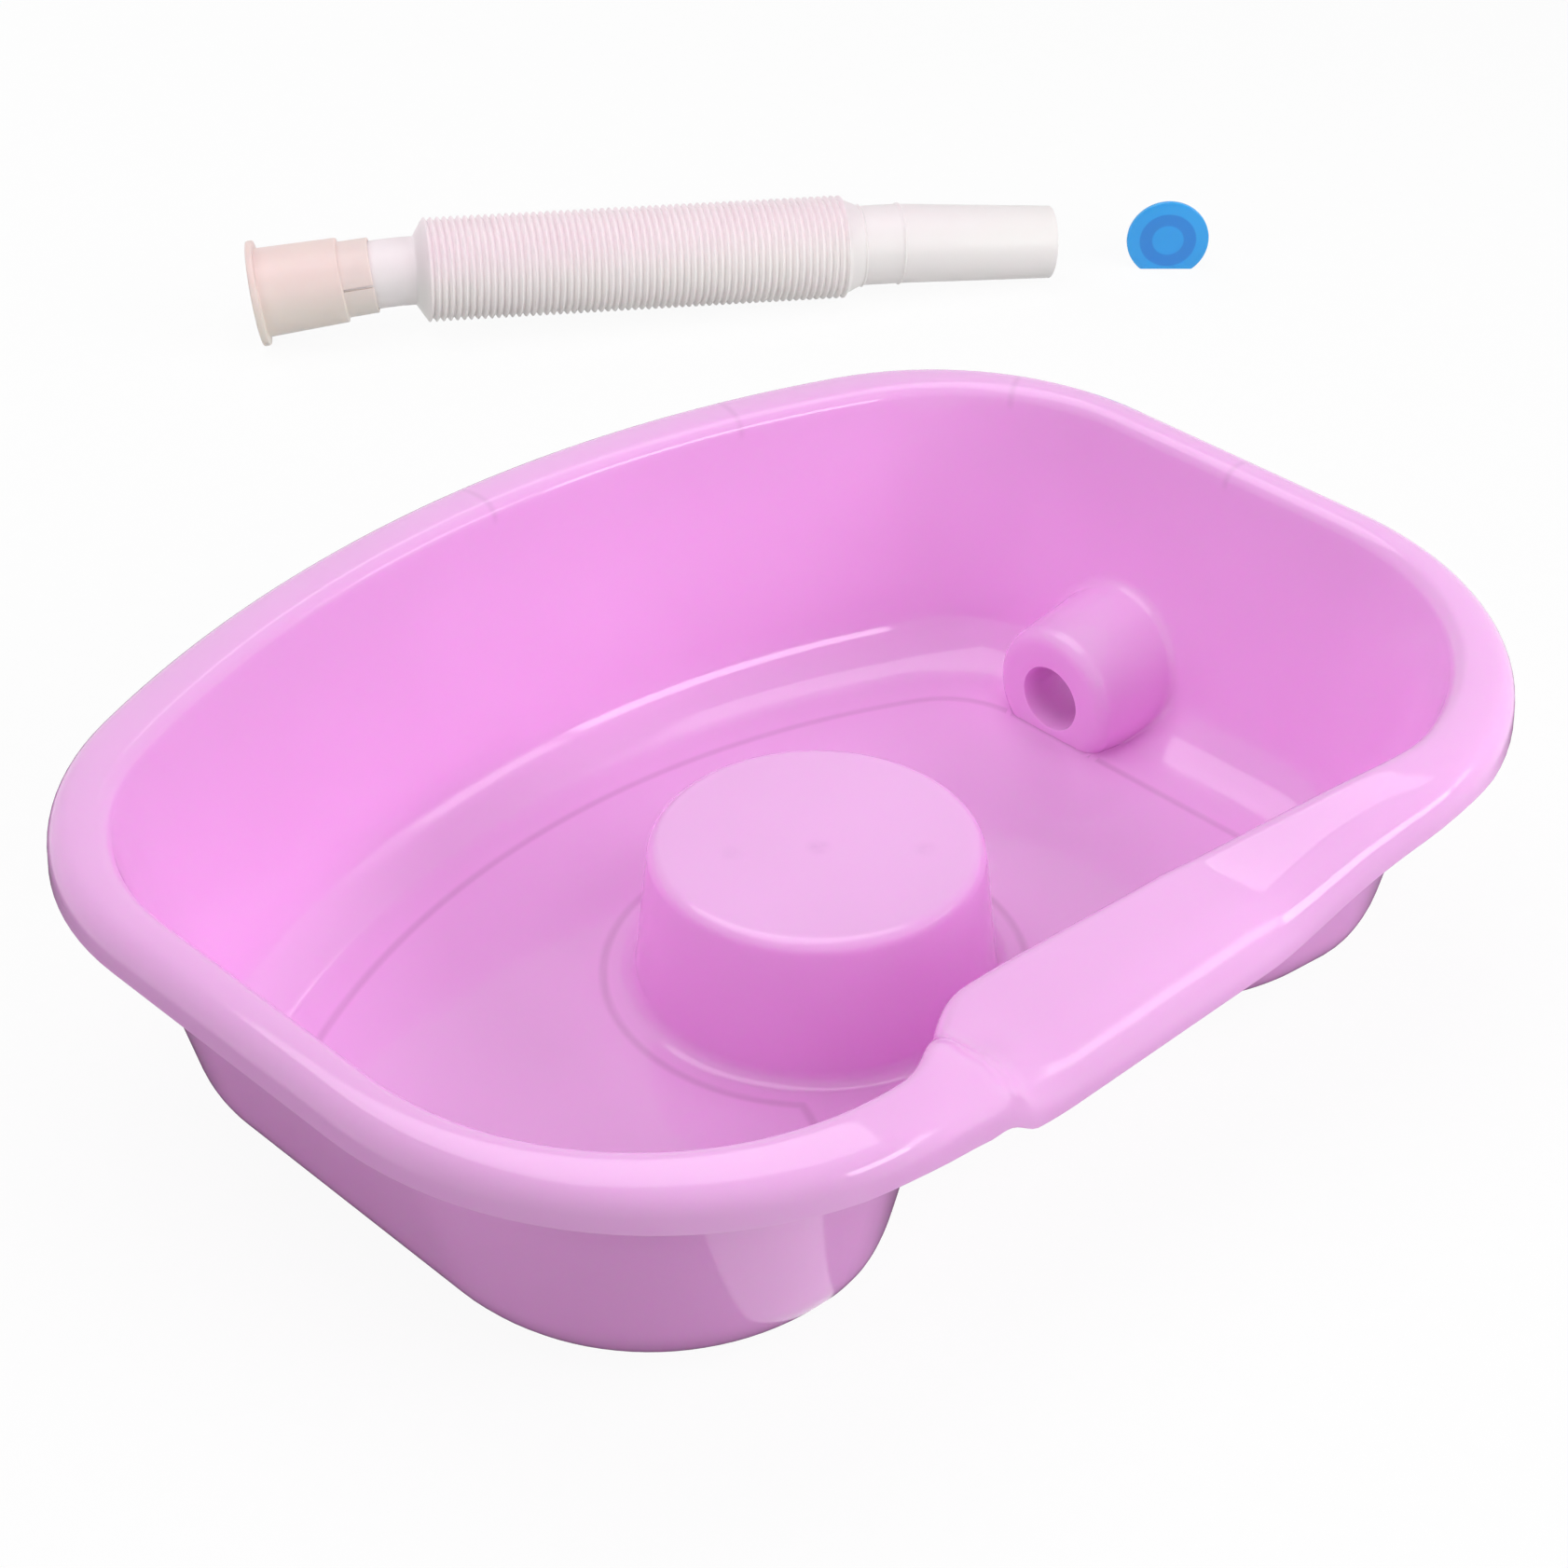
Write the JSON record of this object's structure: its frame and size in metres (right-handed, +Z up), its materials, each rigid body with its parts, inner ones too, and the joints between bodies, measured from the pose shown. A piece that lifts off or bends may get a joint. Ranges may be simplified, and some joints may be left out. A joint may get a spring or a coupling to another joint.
{
  "type": "portable shampoo basin",
  "caption": "Shallow moulded basin with a rolled rim, a dipped neck rest, a round head pedestal and a side drain, with its ribbed drain hose and stopper.",
  "frame": {"origin": "on the foot rib's underside, at the bend right behind the head pedestal, in the basin's middle plane", "axes": "+Z up; +X along the basin's length towards its drain; +Y away from the neck rest"},
  "size_m": [0.9166, 0.8473, 0.1374],
  "materials": {
    "basin_plastic": "glossy, slightly see-through pink",
    "connector_plastic": "satin cream",
    "hose_plastic": "satin, pale pink to cream",
    "stopper_plastic": "glossy, see-through blue"
  },
  "bodies": {
    "basin": {"basin": "basin_plastic"},
    "stopper": {"stopper": "stopper_plastic"},
    "hose": {"hose_tail": "hose_plastic", "hose_bellows": "hose_plastic"},
    "hose_head": {"hose_connector": "connector_plastic", "hose_neck": "hose_plastic"}
  },
  "joints": [
    {"name": "stopper_lift", "type": "slide", "parent": "basin", "child": "stopper", "axis": [0, 0, 1], "range_m": [0, 0.2]},
    {"name": "hose_lift", "type": "slide", "parent": "basin", "child": "hose", "axis": [0, 0, 1], "range_m": [0, 0.2]},
    {"name": "bellows_stretch", "type": "slide", "parent": "hose", "child": "hose_head", "axis": [-0.8372, 0.5458, 0.0344], "range_m": [0, 0.07], "deforming": ["hose_bellows"]}
  ]
}
